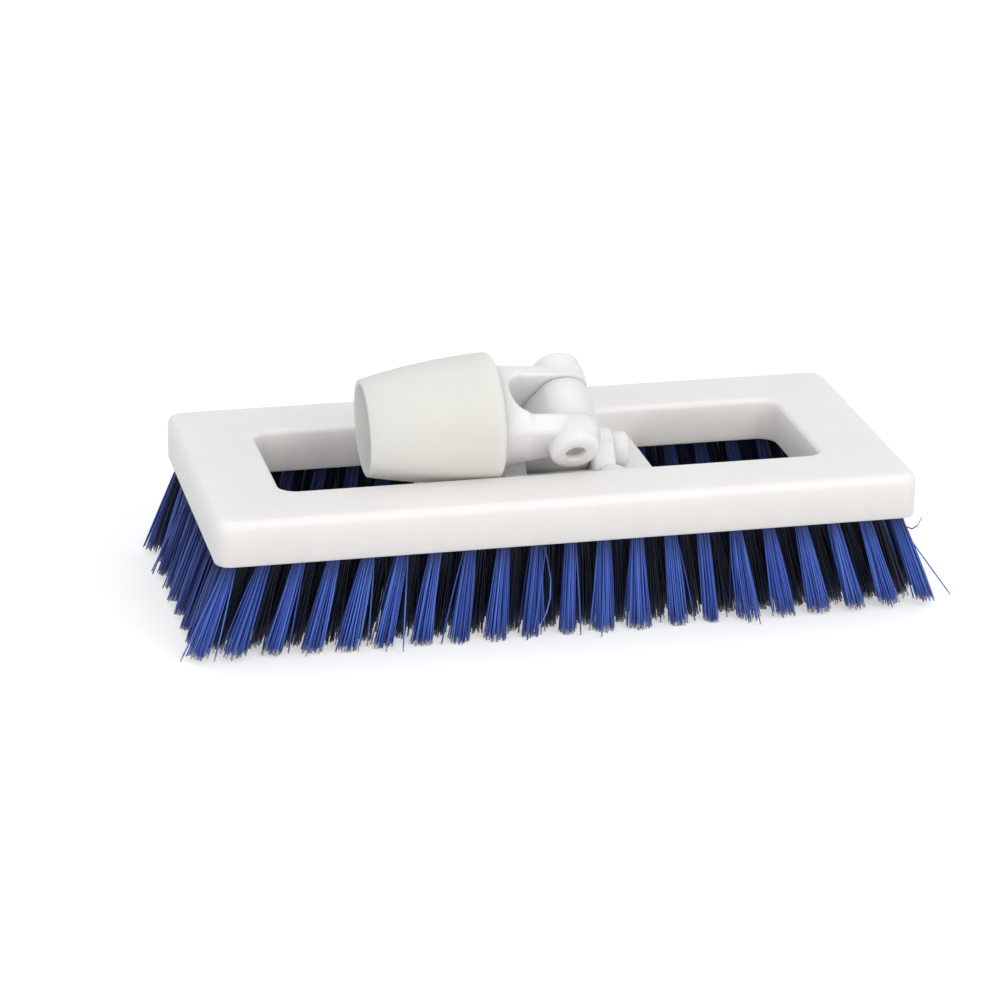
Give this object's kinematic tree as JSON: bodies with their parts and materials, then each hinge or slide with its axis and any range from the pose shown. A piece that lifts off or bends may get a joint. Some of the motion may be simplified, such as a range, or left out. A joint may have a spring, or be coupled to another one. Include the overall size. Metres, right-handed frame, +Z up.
{
  "type": "deck brush",
  "caption": "Rectangular deck scrubbing brush with an open moulded frame, splayed bristle tufts underneath and a conical handle socket on a two-axis swivel.",
  "frame": {"origin": "on the floor plane through the bristle tips, under the middle of the brush block", "axes": "+X along the block's length, +Y across it, away from the side that the socket leans to, +Z up; the socket lies folded along -X"},
  "size_m": [0.261, 0.108, 0.0882],
  "materials": {
    "block_white": "satin moulded white",
    "joint_white": "satin moulded white",
    "socket_white": "fine matt off-white",
    "base_natural": "natural whitish plastic, slightly clear",
    "bristle_blue": "blue filament",
    "pin_steel": "plain steel"
  },
  "bodies": {
    "brush": {"brush_block": "block_white", "front_outer_row": "bristle_blue", "front_middle_row": "bristle_blue", "front_inner_row": "bristle_blue", "back_outer_row": "bristle_blue", "back_middle_row": "bristle_blue", "back_inner_row": "bristle_blue", "left_outer_row": "bristle_blue", "left_middle_row": "bristle_blue", "left_inner_row": "bristle_blue", "right_outer_row": "bristle_blue", "right_middle_row": "bristle_blue", "right_inner_row": "bristle_blue", "swivel_base": "base_natural", "base_screw_1": "pin_steel", "base_screw_2": "pin_steel", "base_screw_3": "pin_steel", "base_screw_4": "pin_steel", "roll_pin": "joint_white", "roll_pin_ring": "pin_steel"},
    "knuckle": {"knuckle": "joint_white"},
    "socket": {"yoke": "joint_white", "yoke_pin": "pin_steel", "socket_sleeve": "socket_white"}
  },
  "joints": [
    {"name": "roll", "type": "hinge", "parent": "brush", "child": "knuckle", "pos_m": [0.006, 0, 0.046], "axis": [-1, 0, 0], "range_deg": [0, 65]},
    {"name": "pitch", "type": "hinge", "parent": "knuckle", "child": "socket", "pos_m": [0.006, -0.01383, 0.0673], "axis": [0, 0.8387, 0.5446], "range_deg": [0, 170]}
  ]
}
